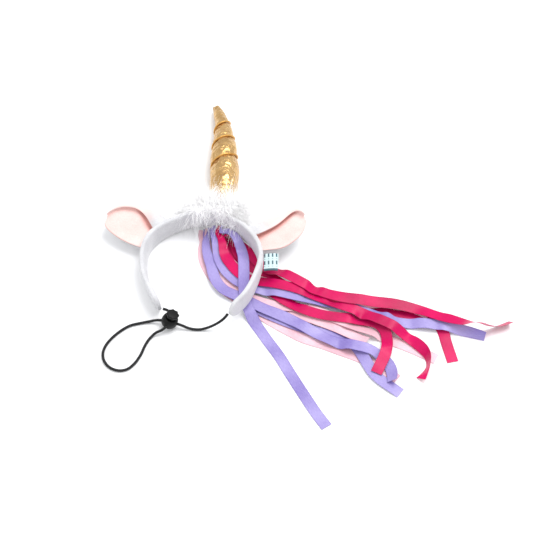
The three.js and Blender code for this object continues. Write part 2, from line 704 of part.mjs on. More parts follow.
// The gold cord lies in the groove, a step for each side of the horn
function hornCord() {
  const rings = [];
  const first = Math.round(hornCordFrom * hornSides);
  const last = Math.round(hornCordTo * hornSides);
  const seat = (along) => hornGirth(along) * (1 - hornGroove) + hornCordDiameter / 2 + seatGap;
  for (let i = first; i <= last; i += 1) {
    const turn = i / hornSides;
    const centre = hornPoint(turn, seat);
    const way = hornPoint(turn + 0.02, seat).sub(hornPoint(turn - 0.02, seat)).normalize();
    const { middle } = hornAt(hornAlong(turn));
    const away = centre.clone().sub(middle);
    away.addScaledVector(way, -away.dot(way)).normalize();
    const across = new THREE.Vector3().crossVectors(way, away);
    const ring = [];
    for (let k = 0; k < 5; k += 1) {
      const angle = (k / 5) * 2 * Math.PI;
      ring.push(centre.clone()
        .addScaledVector(away, (Math.cos(angle) * hornCordDiameter) / 2)
        .addScaledVector(across, (Math.sin(angle) * hornCordDiameter) / 2));
    }
    rings.push(ring);
  }
  return loft(rings);
}

// The ears

// Points across an ear at one row, from its near edge round the fold to the edge of its flap
function earOutline(row) {
  const near = row.near * earWidth;
  const fold = row.fold * earWidth - earFoldRadius;
  const flap = Math.min(row.flap * earWidth, fold - 0.5);
  const points = [];
  for (let i = 0; i <= 4; i += 1) {
    const share = i / 4;
    points.push([mix(near, fold, share), earCup * ((1 - share) ** 2 - 1) * Math.min(1, 2 - 2 * share)]);
  }
  for (const angle of [-30, 30, 90]) {
    const a = THREE.MathUtils.degToRad(angle);
    points.push([fold + Math.cos(a) * earFoldRadius, earFoldRadius + Math.sin(a) * earFoldRadius]);
  }
  points.push([mix(fold, flap, 0.5), earFoldRadius * 2 + 0.4], [flap, earFoldRadius * 2 - 0.2]);
  return points;
}

// The same points moved to one side of the cloth, in the plane of the row
function offsetOutline(points, distance) {
  return points.map(([x, y], i) => {
    const [ax, ay] = points[Math.max(i - 1, 0)];
    const [bx, by] = points[Math.min(i + 1, points.length - 1)];
    const length = Math.hypot(bx - ax, by - ay);
    return [x - ((by - ay) / length) * distance, y + ((bx - ax) / length) * distance];
  });
}

function earSheet(rows, place, turn, far, from, to) {
  const { point, out } = stripAt(place);
  const way = out.clone().applyAxisAngle(up, THREE.MathUtils.degToRad(turn));
  const across = new THREE.Vector3(-way.y, way.x, 0).multiplyScalar(far);
  const foot = point.clone().addScaledVector(out, stripThickness / 2);
  const height = stripRaise(place) + stripHeight / 2;
  const slant = -across.dot(out) / way.dot(out);
  const side = (distance) => rows.map((row) => {
    const outline = offsetOutline(earOutline(row), distance);
    const footShare = Math.max(0, 1 - Math.max(row.along, 0) / 0.45);
    return outline.map(([v, z]) => foot.clone()
      .addScaledVector(way, row.along * earLength + v * slant * footShare)
      .addScaledVector(across, v)
      .addScaledVector(up, height + z + row.lift * earWidth));
  });
  return toGeometry(largestPiece(toSolid(sheet(side(to), side(from))).subtract(stripRoom)));
}

const liningFrom = seatGap / 2;
const backFrom = -seatGap / 2;

function earLining(rows, place, turn, far) {
  return earSheet(rows, place, turn, far, liningFrom, liningFrom + earLiningThickness);
}

function earBack(rows, place, turn, far) {
  return earSheet(rows, place, turn, far, backFrom - earBackThickness, backFrom);
}

// The feather trim

// A strip of down along the crown, with locks that stand out round the foot of the horn
function featherTrim() {
  const rings = [];
  const steps = 10;
  for (let i = 0; i <= steps; i += 1) {
    const share = i / steps;
    const place = mix(trimStart, trimEnd, share);
    const { point, out } = stripAt(place);
    const swell = Math.sqrt(Math.max(Math.sin(share * Math.PI), 0.06));
    const centre = point.clone()
      .addScaledVector(out, stripThickness / 2 + (trimDepth / 2) * swell)
      .addScaledVector(up, stripRaise(place) + stripHeight / 2);
    const ring = [];
    for (let k = 0; k < 8; k += 1) {
      const angle = ((k + 0.5) / 8) * 2 * Math.PI;
      ring.push(centre.clone()
        .addScaledVector(out, (Math.cos(angle) * trimDepth * swell) / 2)
        .addScaledVector(up, (Math.sin(angle) * trimHeight * swell) / 2));
    }
    rings.push(ring);
  }
  let trim = toSolid(loft(rings));
  const locksAlong = 9;
  const locksUp = [-0.32, 0.02, 0.36];
  for (let i = 0; i < locksAlong; i += 1) {
    for (const [level, rise] of locksUp.entries()) {
      const share = (i + 0.5 + (level % 2) * 0.4) / (locksAlong + 0.4);
      const place = mix(trimStart, trimEnd, share);
      const { point, out, along } = stripAt(place);
      const hornSide = 1 - Math.abs(place - hornPlace) / (trimEnd - trimStart);
      const length = trimLockLength * (0.25 + 0.75 * hornSide ** 2) * (0.8 + 0.2 * Math.sin(i * 2.1 + level * 1.7));
      const way = out.clone()
        .addScaledVector(along, 0.35 * Math.sin(i * 1.3 + level * 2.4))
        .addScaledVector(up, rise * 1.1)
        .normalize();
      const foot = point.clone()
        .addScaledVector(out, stripThickness / 2 + trimDepth * 0.3)
        .addScaledVector(up, stripRaise(place) + stripHeight / 2 + rise * trimHeight * 0.8);
      const lock = new THREE.ConeGeometry(trimLockRadius, length, 5);
      lock.translate(0, length / 2, 0);
      lock.applyQuaternion(new THREE.Quaternion().setFromUnitVectors(new THREE.Vector3(0, 1, 0), way));
      lock.translate(foot.x, foot.y, foot.z);
      trim = trim.add(toSolid(lock));
    }
  }
  const table = new THREE.BoxGeometry(bandSpan * 2, bandSpan * 2, 40);
  table.translate(0, bandDepth / 2, -20 + seatGap);
  const aboveFoot = toSolid(horn(seatGap + 1.7, 0));
  const hornRoom = aboveFoot.add(aboveFoot.translate([0, -3 * hornSeatDepth, 0]));
  return toGeometry(largestPiece(trim.subtract(stripRoom).subtract(hornRoom).subtract(toSolid(table))));
}

// The woven side label, a folded tab that stands out from the strip

function sideLabel() {
  const { point, along, out } = stripAt(labelPlace);
  const foot = point.clone()
    .addScaledVector(out, stripThickness / 2 + seatGap)
    .addScaledVector(up, stripRaise(labelPlace) + stripHeight * 0.45);
  const rows = [0, 0.35, 0.7, 1];
  const side = (face) => rows.map((share) => [-0.5, 0.5].map((end) => foot.clone()
    .addScaledVector(out, share * labelReach)
    .addScaledVector(along, end * labelLength)
    .addScaledVector(up, (face * labelThickness) / 2 + labelReach * 0.12 * Math.sin(share * 2.4))));
  return toGeometry(toSolid(sheet(side(1), side(-1))).subtract(stripRoom));
}

// The elastic cord and the cord lock

const cordCurve = new THREE.CatmullRomCurve3(cordPoints.map(([x, y, z]) => new THREE.Vector3(x, y, z)));

const lockTurn = new THREE.Quaternion().setFromUnitVectors(up, lockAxis);

function placeOnLock(geometry) {
  geometry.applyQuaternion(lockTurn);
  geometry.translate(lockCentre.x, lockCentre.y, lockCentre.z);
  return geometry;
}

// A round body about the lock's axis, from its outline of distance from the axis and height
function turned(outline, sides) {
  const geometry = new THREE.LatheGeometry(outline.map(([r, z]) => new THREE.Vector2(r, z)), sides);
  geometry.rotateX(Math.PI / 2);
  return placeOnLock(geometry);
}

function lockBody() {
  const radius = lockDiameter / 2;
  const half = lockHeight / 2;
  const bore = stemDiameter / 2 + boreClearance;
  const boreFloor = stemFootHeight - buttonTravel - boreClearance;
  const barrel = toSolid(turned([
    [0, -half], [radius * 0.6, -half], [radius * 0.88, -half * 0.78], [radius, -half * 0.3],
    [radius, half * 0.35], [radius * 0.9, half * 0.85], [radius * 0.78, half], [0, half],
  ], 20));
  const hole = toSolid(turned([[0, boreFloor], [bore, boreFloor], [bore, half + 1], [0, half + 1]], 20));
  const channel = toSolid(tube(cordCurve, cordDiameter + 2 * cordClearance, 8, cordSteps));
  return toGeometry(barrel.subtract(hole).subtract(channel));
}

// A slot in the stem for the strand at one point of the cord, open below and long enough for the
// button's travel
function strandSlot(pointIndex) {
  const t = pointIndex / (cordPoints.length - 1);
  const way = cordCurve.getTangent(t);
  const rise = lockAxis.clone().addScaledVector(way, -lockAxis.dot(way)).normalize();
  const across = new THREE.Vector3().crossVectors(rise, way);
  const width = cordDiameter + 2 * cordClearance + 0.4;
  const over = cordDiameter / 2 + cordClearance + buttonTravel + 0.4;
  const slot = new THREE.BoxGeometry(lockDiameter, width, lockHeight + over);
  const centre = cordCurve.getPoint(t).addScaledVector(rise, (over - lockHeight) / 2);
  slot.applyMatrix4(new THREE.Matrix4().makeBasis(way, across, rise).setPosition(centre));
  return toSolid(slot);
}

function lockButton() {
  const underside = lockHeight / 2 + buttonTravel + boreClearance;
  const outline = [];
  for (let i = 0; i < 32; i += 1) {
    const angle = (i / 32) * 2 * Math.PI;
    const radius = (buttonDiameter / 2) * (0.93 + 0.07 * Math.cos(angle * 8));
    outline.push(new THREE.Vector2(Math.cos(angle) * radius, Math.sin(angle) * radius));
  }
  const bevel = buttonHeight * 0.2;
  const cap = new THREE.ExtrudeGeometry(new THREE.Shape(outline), {
    depth: buttonHeight - 2 * bevel, bevelEnabled: true, bevelThickness: bevel, bevelSize: bevel,
    bevelOffset: -bevel, bevelSegments: 1,
  });
  cap.translate(0, 0, underside + bevel);
  const stemRadius = stemDiameter / 2;
  const stem = toSolid(turned([
    [0, stemFootHeight], [stemRadius, stemFootHeight], [stemRadius, underside + bevel],
    [0, underside + bevel],
  ], 20));
  const slots = strandSlot(frontStrandPoint).add(strandSlot(backStrandPoint));
  return toGeometry(stem.subtract(slots).add(toSolid(placeOnLock(cap))));
}

// Finishes
const finishes = {
  plush: { color: 0xeeedee, roughness: 0.95, metalness: 0 },
  lining: { color: 0xf6cfc9, roughness: 0.9, metalness: 0 },
  lame: { color: 0xcda25f, roughness: 0.3, metalness: 0.8 },
  goldCord: { color: 0xb3782f, roughness: 0.45, metalness: 0.6 },
  down: { color: 0xf7f5f4, roughness: 1, metalness: 0 },
  magenta: { color: 0xe1005a, roughness: 0.4, metalness: 0 },
  pink: { color: 0xf4d3de, roughness: 0.4, metalness: 0 },
  lavender: { color: 0xb4a5dc, roughness: 0.4, metalness: 0 },
  label: { color: 0xc9dfe0, roughness: 0.8, metalness: 0 },
  elastic: { color: 0x151515, roughness: 0.85, metalness: 0 },
  lock: { color: 0x101011, roughness: 0.5, metalness: 0 },
};

const headband = new THREE.Group();

function piece(name, geometry, finish) {
  const mesh = new THREE.Mesh(geometry, new THREE.MeshStandardMaterial(finishes[finish]));
  mesh.name = name;
  headband.add(mesh);
  return mesh;
}

piece('headband_strip', strip(0), 'plush');
piece('horn', toGeometry(largestPiece(toSolid(horn(0, hornGroove)).subtract(stripRoom))), 'lame');
piece('horn_cord', hornCord(), 'goldCord');
piece('feather_trim', featherTrim(), 'down');
piece('ear_left_lining', earLining(leftEarRows, leftEarPlace, leftEarTurn, -1), 'lining');
piece('ear_left_back', earBack(leftEarRows, leftEarPlace, leftEarTurn, -1), 'plush');
piece('ear_right_lining', earLining(rightEarRows, rightEarPlace, rightEarTurn, 1), 'lining');
piece('ear_right_back', earBack(rightEarRows, rightEarPlace, rightEarTurn, 1), 'plush');
piece('side_label', sideLabel(), 'label');
for (const ribbon of ribbonBodies) piece(ribbon.name, ribbon.geometry, ribbon.colour);

// The origin is under the middle of the headband's own box, without the cord and its lock
const box = new THREE.Box3().setFromObject(headband);
const middle = box.getCenter(new THREE.Vector3());

piece('elastic_cord', tube(cordCurve, cordDiameter, 8, cordSteps), 'elastic');
piece('cord_lock_body', lockBody(), 'lock');
piece('cord_lock_button', lockButton(), 'lock');

headband.position.set(-middle.x, -middle.y, -box.min.z);
headband.updateMatrixWorld(true);

export default headband;
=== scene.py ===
import bpy
import bmesh
import math
import random
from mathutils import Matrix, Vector, noise


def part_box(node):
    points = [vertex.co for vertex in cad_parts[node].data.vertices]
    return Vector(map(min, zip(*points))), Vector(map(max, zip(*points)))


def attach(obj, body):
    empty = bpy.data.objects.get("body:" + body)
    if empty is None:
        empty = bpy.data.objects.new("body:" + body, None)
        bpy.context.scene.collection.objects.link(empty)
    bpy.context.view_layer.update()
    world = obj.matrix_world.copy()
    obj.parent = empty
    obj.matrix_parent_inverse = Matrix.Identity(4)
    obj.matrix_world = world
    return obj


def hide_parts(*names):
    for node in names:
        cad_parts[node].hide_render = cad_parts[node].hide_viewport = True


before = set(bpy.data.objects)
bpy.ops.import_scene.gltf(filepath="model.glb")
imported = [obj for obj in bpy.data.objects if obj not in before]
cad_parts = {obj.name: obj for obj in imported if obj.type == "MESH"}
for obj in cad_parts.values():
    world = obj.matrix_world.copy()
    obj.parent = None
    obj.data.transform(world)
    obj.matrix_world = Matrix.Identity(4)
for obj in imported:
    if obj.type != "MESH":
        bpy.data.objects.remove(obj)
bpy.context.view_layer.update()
MM = 0.001

# The chin cord, from the strip's right end through the lock, round its loop and back. The points
# are those of the part's source, in millimetres from the middle of the head opening.
CORD_POINTS = [
    (26.8, -62, 20.5), (23.2, -65, 17.4), (18.4, -66.4, 12.8), (13, -66.8, 8), (6.5, -67.2, 3.8),
    (0, -67.8, 1.9), (-6, -67.6, 1.6), (-12, -66.7, 2.6), (-17, -65.5, 4.6), (-21.5, -64.3, 5.7),
    (-26, -63.1, 5.8), (-30, -62, 5.8), (-34, -60.9, 5.8), (-38.5, -59.7, 5.6), (-44, -58.8, 4.2),
    (-50, -59, 2.4), (-58, -60.2, 1.5), (-69, -63.4, 1.5), (-80, -71.6, 1.5), (-88, -81, 1.5),
    (-92, -89, 1.5), (-93, -97, 1.5), (-90.5, -105, 1.5), (-85, -111, 1.5), (-77, -114, 1.5),
    (-69, -112.6, 1.5), (-62, -106, 1.5), (-56.5, -96, 1.5), (-53, -86, 1.5), (-48.6, -77.8, 1.8),
    (-43, -72.8, 3.6), (-37.2, -71.6, 6.6), (-32.8, -69, 9.2), (-30.6, -65.3, 10.1),
    (-29.4, -61.7, 10.2), (-28.9, -58, 10.3), (-29.8, -54.4, 10.9), (-32.8, -51.8, 11.8),
    (-36.6, -50.9, 12.4),
]
CORD_DIAMETER = 2.7 * MM
RIBBON_WIDTH = 11 * MM
RIBBON_THICKNESS = 0.22 * MM


def smooth_curve(points, steps):
    """Points on a centripetal curve through all the given ones."""
    ends = [2 * points[0] - points[1], *points, 2 * points[-1] - points[-2]]
    line = []
    for p0, p1, p2, p3 in zip(ends, ends[1:], ends[2:], ends[3:]):
        t1 = max((p1 - p0).length, 1e-7) ** 0.5
        t2 = t1 + max((p2 - p1).length, 1e-7) ** 0.5
        t3 = t2 + max((p3 - p2).length, 1e-7) ** 0.5
        for step in range(steps):
            t = t1 + (t2 - t1) * step / steps
            a1 = p0.lerp(p1, t / t1)
            a2 = p1.lerp(p2, (t - t1) / (t2 - t1))
            a3 = p2.lerp(p3, (t - t2) / (t3 - t2))
            b1 = a1.lerp(a2, t / t2)
            b2 = a2.lerp(a3, (t - t1) / (t3 - t1))
            line.append(b1.lerp(b2, (t - t1) / (t2 - t1)))
    line.append(points[-1].copy())
    return line


def middle_of(points):
    low = Vector([min(p[i] for p in points) for i in range(3)])
    high = Vector([max(p[i] for p in points) for i in range(3)])
    return (low + high) / 2


# Where the source's origin lies in the frame
cord_line = smooth_curve([Vector(p) * MM for p in CORD_POINTS], 4)
cord_low, cord_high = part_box("elastic_cord")
shift = (cord_low + cord_high) / 2 - middle_of(cord_line)
shift.z = 0
cord_line = [p + shift for p in cord_line]


# Camera, as in the photograph: 55 degrees above the table, along the way the horn points. At its target
# one millimetre of the table is one pixel of the photograph, which is 533 pixels wide.
CAMERA_TARGET = (64, 8, 0)
CAMERA_RISE = math.radians(55)
CAMERA_DISTANCE = 1500 * MM
VIEW_WIDTH = 533 * MM

look_at = shift + Vector(CAMERA_TARGET) * MM
camera_data = bpy.data.cameras.new("camera")
camera_data.angle = 2 * math.atan(VIEW_WIDTH / 2 / CAMERA_DISTANCE)
camera = bpy.data.objects.new("camera", camera_data)
camera.location = look_at + CAMERA_DISTANCE * Vector((0, -math.cos(CAMERA_RISE), math.sin(CAMERA_RISE)))
camera.rotation_euler = (math.pi / 2 - CAMERA_RISE, 0, 0)
bpy.context.scene.collection.objects.link(camera)
bpy.context.scene.camera = camera


# Node groups

def new_group(name, inputs, outputs):
    group = bpy.data.node_groups.new(name, "ShaderNodeTree")
    for label, kind, value in inputs:
        socket = group.interface.new_socket(name=label, in_out="INPUT", socket_type=kind)
        if value is not None:
            socket.default_value = value
    for label, kind in outputs:
        group.interface.new_socket(name=label, in_out="OUTPUT", socket_type=kind)
    start = group.nodes.new("NodeGroupInput")
    end = group.nodes.new("NodeGroupOutput")
    return group, start, end


def maths(group, operation, a, b=None):
    node = group.nodes.new("ShaderNodeMath")
    node.operation = operation
    for socket, value in zip(node.inputs, (a, b)):
        if isinstance(value, (int, float)):
            socket.default_value = value
        elif value is not None:
            group.links.new(value, socket)
    return node.outputs[0]


def noise_node(group, vector, scale, detail=2.0):
    node = group.nodes.new("ShaderNodeTexNoise")
    group.links.new(vector, node.inputs["Vector"])
    if isinstance(scale, (int, float)):
        node.inputs["Scale"].default_value = scale
    else:
        group.links.new(scale, node.inputs["Scale"])
    node.inputs["Detail"].default_value = detail
    return node.outputs["Fac"]


OUTPUTS = [("Tone", "NodeSocketFloat"), ("Height", "NodeSocketFloat")]


def short_pile():
    """The nap of velour: fine hair, with broad patches where it lies another way."""
    group, start, end = new_group("short pile", [
        ("Vector", "NodeSocketVector", None),
        ("Hairs per metre", "NodeSocketFloat", 900.0),
        ("Patches per metre", "NodeSocketFloat", 70.0),
    ], OUTPUTS)
    hair = noise_node(group, start.outputs["Vector"], start.outputs["Hairs per metre"], 4.0)
    patch = noise_node(group, start.outputs["Vector"], start.outputs["Patches per metre"], 3.0)
    tone = maths(group, "ADD", maths(group, "MULTIPLY", hair, 0.45), maths(group, "MULTIPLY", patch, 0.55))
    tone = maths(group, "MULTIPLY", maths(group, "SUBTRACT", tone, 0.3), 2.4)
    group.links.new(tone, end.inputs["Tone"])
    group.links.new(maths(group, "ADD", hair, maths(group, "MULTIPLY", patch, 2.0)), end.inputs["Height"])
    return group


def satin_weave():
    """Warp floats along a ribbon, with its woven edges and broad painted sheen bands. The vector is across
    and along in metres.
    """
    group, start, end = new_group("satin weave", [
        ("Vector", "NodeSocketVector", None),
        ("Threads per metre", "NodeSocketFloat", 12000.0),
        ("Ribbon width", "NodeSocketFloat", 0.011),
    ], OUTPUTS)
    split = group.nodes.new("ShaderNodeSeparateXYZ")
    group.links.new(start.outputs["Vector"], split.inputs[0])
    across, along = split.outputs[0], split.outputs[1]
    weft = maths(group, "SINE", maths(group, "MULTIPLY", along, start.outputs["Threads per metre"]))
    stretch = group.nodes.new("ShaderNodeCombineXYZ")
    group.links.new(maths(group, "MULTIPLY", across, 9.0), stretch.inputs[0])
    group.links.new(along, stretch.inputs[1])
    streak = noise_node(group, stretch.outputs[0], 260.0, 3.0)
    share = maths(group, "DIVIDE", across, start.outputs["Ribbon width"])
    from_middle = maths(group, "ABSOLUTE", maths(group, "SUBTRACT", share, 0.5))
    edge = maths(group, "GREATER_THAN", from_middle, 0.44)
    # Broad lighter and darker stretches along the ribbon: painted sheen where satin turns.
    painted_sheen_bands = noise_node(group, start.outputs["Vector"], 26.0, 1.0)
    painted_sheen_bands = maths(group, "MULTIPLY", maths(group, "SUBTRACT", painted_sheen_bands, 0.5), 1.9)
    tone = maths(group, "ADD", maths(group, "MULTIPLY", streak, 1.1), maths(group, "MULTIPLY", weft, 0.05))
    tone = maths(group, "ADD", tone, painted_sheen_bands)
    tone = maths(group, "SUBTRACT", tone, maths(group, "MULTIPLY", edge, 0.25))
    group.links.new(tone, end.inputs["Tone"])
    height = maths(group, "ADD", maths(group, "MULTIPLY", weft, 0.25), maths(group, "MULTIPLY", edge, 0.8))
    group.links.new(maths(group, "ADD", height, streak), end.inputs["Height"])
    return group


def crinkle():
    """Crushed metallic cloth: sharp little facets and soft dents, with painted shade in the dents."""
    group, start, end = new_group("crinkle", [
        ("Vector", "NodeSocketVector", None),
        ("Facets per metre", "NodeSocketFloat", 190.0),
    ], OUTPUTS)
    bend = group.nodes.new("ShaderNodeTexNoise")
    bend.inputs["Scale"].default_value = 120.0
    group.links.new(start.outputs["Vector"], bend.inputs["Vector"])
    mix = group.nodes.new("ShaderNodeVectorMath")
    mix.operation = "MULTIPLY_ADD"
    group.links.new(bend.outputs["Color"], mix.inputs[0])
    mix.inputs[1].default_value = (0.006, 0.006, 0.006)
    group.links.new(start.outputs["Vector"], mix.inputs[2])
    cells = group.nodes.new("ShaderNodeTexVoronoi")
    group.links.new(mix.outputs[0], cells.inputs["Vector"])
    group.links.new(start.outputs["Facets per metre"], cells.inputs["Scale"])
    dents = noise_node(group, start.outputs["Vector"], 90.0, 3.0)
    knit = noise_node(group, start.outputs["Vector"], 2200.0, 1.0)
    height = maths(group, "ADD", cells.outputs["Distance"], maths(group, "MULTIPLY", dents, 1.6))
    height = maths(group, "ADD", height, maths(group, "MULTIPLY", knit, 0.12))
    # The tone rises with the dents and the knit, so their hollows are painted darker: painted shade.
    tone = maths(group, "ADD", maths(group, "MULTIPLY", dents, 0.8), maths(group, "MULTIPLY", knit, 0.3))
    group.links.new(tone, end.inputs["Tone"])
    group.links.new(height, end.inputs["Height"])
    return group


def braid():
    """Crossing strands round a cord, with painted shade in the grooves between them. The vector is around
    in turns and along in metres.
    """
    group, start, end = new_group("braid", [
        ("Vector", "NodeSocketVector", None),
        ("Strands around", "NodeSocketFloat", 6.0),
        ("Crossings per metre", "NodeSocketFloat", 380.0),
    ], OUTPUTS)
    split = group.nodes.new("ShaderNodeSeparateXYZ")
    group.links.new(start.outputs["Vector"], split.inputs[0])
    strands = maths(group, "MULTIPLY", start.outputs["Strands around"], math.tau)
    crossings = maths(group, "MULTIPLY", start.outputs["Crossings per metre"], math.tau)
    turn = maths(group, "MULTIPLY", split.outputs[0], strands)
    run = maths(group, "MULTIPLY", split.outputs[1], crossings)
    one = maths(group, "SINE", maths(group, "ADD", turn, run))
    other = maths(group, "SINE", maths(group, "SUBTRACT", turn, run))
    height = maths(group, "MAXIMUM", one, other)
    # The tone follows the strands' height, so the grooves between them are darker: painted shade.
    group.links.new(maths(group, "ADD", maths(group, "MULTIPLY", height, 0.5), 0.4), end.inputs["Tone"])
    group.links.new(height, end.inputs["Height"])
    return group


def moulding():
    """The fine spark-eroded grain of moulded plastic."""
    group, start, end = new_group("moulding", [
        ("Vector", "NodeSocketVector", None),
        ("Grain per metre", "NodeSocketFloat", 1800.0),
    ], OUTPUTS)
    grain = noise_node(group, start.outputs["Vector"], start.outputs["Grain per metre"], 3.0)
    group.links.new(noise_node(group, start.outputs["Vector"], 150.0), end.inputs["Tone"])
    group.links.new(grain, end.inputs["Height"])
    return group


PILE = short_pile()
SATIN = satin_weave()
CRINKLE = crinkle()
BRAID = braid()
MOULDING = moulding()


def finish(name, group, values, dark, light, bump, depth, coordinates="Object", **sockets):
    """A material whose colour runs from dark to light by the group's tone."""
    material = bpy.data.materials.new(name)
    material.use_nodes = True
    tree = material.node_tree
    shader = tree.nodes["Principled BSDF"]
    pattern = tree.nodes.new("ShaderNodeGroup")
    pattern.node_tree = group
    for label, value in values.items():
        pattern.inputs[label].default_value = value
    place = tree.nodes.new("ShaderNodeTexCoord")
    tree.links.new(place.outputs[coordinates], pattern.inputs["Vector"])
    colour = tree.nodes.new("ShaderNodeMix")
    colour.data_type = "RGBA"
    colour.inputs["A"].default_value = (*dark, 1)
    colour.inputs["B"].default_value = (*light, 1)
    tree.links.new(pattern.outputs["Tone"], colour.inputs["Factor"])
    tree.links.new(colour.outputs["Result"], shader.inputs["Base Color"])
    relief = tree.nodes.new("ShaderNodeBump")
    relief.inputs["Strength"].default_value = bump
    relief.inputs["Distance"].default_value = depth
    tree.links.new(pattern.outputs["Height"], relief.inputs["Height"])
    tree.links.new(relief.outputs["Normal"], shader.inputs["Normal"])
    for label, value in sockets.items():
        shader.inputs[label.replace("_", " ")].default_value = value
    return material


WHITE_PLUSH = finish(
    "white plush", PILE, {"Hairs per metre": 900.0, "Patches per metre": 60.0},
    (0.52, 0.52, 0.54), (0.72, 0.715, 0.73), 0.55, 0.0006,
    Roughness=0.95, Sheen_Weight=0.25, Sheen_Roughness=0.5,
)


def tint(material, attribute, colour):
    """Lays a colour over a finish where the piece's attribute says so."""
    tree = material.node_tree
    shader = tree.nodes["Principled BSDF"]
    ground = shader.inputs["Base Color"].links[0].from_socket
    share = tree.nodes.new("ShaderNodeAttribute")
    share.attribute_name = attribute
    paint = tree.nodes.new("ShaderNodeMix")
    paint.data_type = "RGBA"
    tree.links.new(share.outputs["Fac"], paint.inputs["Factor"])
    tree.links.new(ground, paint.inputs["A"])
    paint.inputs["B"].default_value = (*colour, 1)
    tree.links.new(paint.outputs["Result"], shader.inputs["Base Color"])
    return material


# The lining turns salmon along each ear's fold by the "crease" attribute: painted shade in the fold.
PINK_PLUSH = tint(finish(
    "pink plush", PILE, {"Hairs per metre": 900.0, "Patches per metre": 45.0},
    (0.82, 0.52, 0.48), (0.95, 0.73, 0.69), 0.5, 0.0006,
    Roughness=0.95, Sheen_Weight=0.3, Sheen_Roughness=0.5,
), "crease", (0.74, 0.33, 0.29))
EAR_BACK = tint(finish(
    "ear back plush", PILE, {"Hairs per metre": 900.0, "Patches per metre": 60.0},
    (0.52, 0.52, 0.54), (0.74, 0.735, 0.75), 0.55, 0.0006,
    Roughness=0.95, Sheen_Weight=0.25, Sheen_Roughness=0.5,
), "lined", (0.9, 0.66, 0.62))
# Its colour runs from dark brown in the painted shade of the dents to pale gold on the raised crinkles.
GOLD_LAME = finish(
    "gold lame", CRINKLE, {"Facets per metre": 190.0},
    (0.30, 0.14, 0.03), (0.86, 0.58, 0.26), 0.7, 0.0014,
    Roughness=0.27, Metallic=0.9,
)
GOLD_CORD = finish(
    "gold cord", CRINKLE, {"Facets per metre": 900.0},
    (0.42, 0.19, 0.03), (0.80, 0.46, 0.13), 0.5, 0.0004,
    Roughness=0.35, Metallic=0.7,
)
WHITE_DOWN = finish(
    "white down", PILE, {"Hairs per metre": 1500.0, "Patches per metre": 90.0},
    (0.93, 0.925, 0.925), (0.99, 0.985, 0.985), 0.2, 0.0003,
    Roughness=1.0, Sheen_Weight=0.5, Sheen_Roughness=0.6,
)
ELASTIC = finish(
    "black elastic", BRAID, {"Strands around": 5.0, "Crossings per metre": 330.0},
    (0.002, 0.002, 0.002), (0.012, 0.012, 0.013), 0.6, 0.0003, "UV",
    Roughness=0.8,
)
BLACK_PLASTIC = finish(
    "black plastic", MOULDING, {"Grain per metre": 1800.0},
    (0.002, 0.002, 0.002), (0.006, 0.006, 0.006), 0.12, 0.0002,
    Roughness=0.4, Specular_IOR_Level=0.2,
)
# Each satin runs from dark to light partly by the weave's painted sheen bands.
SATINS = {
    "magenta": finish(
        "magenta satin", SATIN, {"Threads per metre": 12000.0},
        (0.38, 0.0, 0.06), (0.68, 0.0, 0.11), 0.12, 0.0002, "UV",
        Roughness=0.33, Anisotropic=0.6, Specular_IOR_Level=0.22,
    ),
    "pink": finish(
        "pink satin", SATIN, {"Threads per metre": 12000.0},
        (0.66, 0.33, 0.40), (0.90, 0.62, 0.69), 0.15, 0.0002, "UV",
        Roughness=0.33, Anisotropic=0.6, Specular_IOR_Level=0.4,
    ),
    "lavender": finish(
        "lavender satin", SATIN, {"Threads per metre": 12000.0},
        (0.18, 0.13, 0.43), (0.40, 0.345, 0.66), 0.15, 0.0002, "UV",
        Roughness=0.33, Anisotropic=0.6, Specular_IOR_Level=0.4,
    ),
}


# The label's plain motif: radians per metre of its rows, their dashes and the dashes' breaks, and how
# far along the tape the dashes end and the band starts
LABEL_ROWS = 1600.0
LABEL_DASHES = 2100.0
LABEL_BREAKS = 690.0
LABEL_DASHES_END = 17.2 * MM
LABEL_BAND_START = 18.2 * MM


def label_finish():
    """Pale woven tape with rows of plain dashes and a teal lower band."""
    # The satin weave also lays its painted sheen bands on the tape.
    material = finish(
        "woven label", SATIN, {"Threads per metre": 9000.0, "Ribbon width": 1.0},
        (0.55, 0.71, 0.72), (0.74, 0.86, 0.86), 0.4, 0.0002, "UV", Roughness=0.85,
    )
    tree = material.node_tree
    shader = tree.nodes["Principled BSDF"]
    ground = shader.inputs["Base Color"].links[0].from_socket
    place = tree.nodes.new("ShaderNodeTexCoord")
    split = tree.nodes.new("ShaderNodeSeparateXYZ")
    tree.links.new(place.outputs["UV"], split.inputs[0])
    reach, along = split.outputs[0], split.outputs[1]
    rows = maths(tree, "SINE", maths(tree, "MULTIPLY", reach, LABEL_ROWS))
    dashes = maths(tree, "SINE", maths(tree, "MULTIPLY", along, LABEL_DASHES))
    breaks = maths(tree, "SINE", maths(tree, "MULTIPLY", along, LABEL_BREAKS))
    row_mask = maths(tree, "GREATER_THAN", rows, 0.35)
    dash_mask = maths(tree, "GREATER_THAN", maths(tree, "ADD", dashes, breaks), -0.1)
    inside = maths(tree, "LESS_THAN", along, LABEL_DASHES_END)
    marks = maths(tree, "MULTIPLY", maths(tree, "MULTIPLY", row_mask, dash_mask), inside)
    band = maths(tree, "GREATER_THAN", along, LABEL_BAND_START)
    paint = tree.nodes.new("ShaderNodeMix")
    paint.data_type = "RGBA"
    tree.links.new(maths(tree, "MAXIMUM", marks, band), paint.inputs["Factor"])
    tree.links.new(ground, paint.inputs["A"])
    paint.inputs["B"].default_value = (0.07, 0.13, 0.16, 1)
    tree.links.new(paint.outputs["Result"], shader.inputs["Base Color"])
    return material


WOVEN_LABEL = label_finish()


# Working on pieces

MERGE_DISTANCE = 0.002 * MM


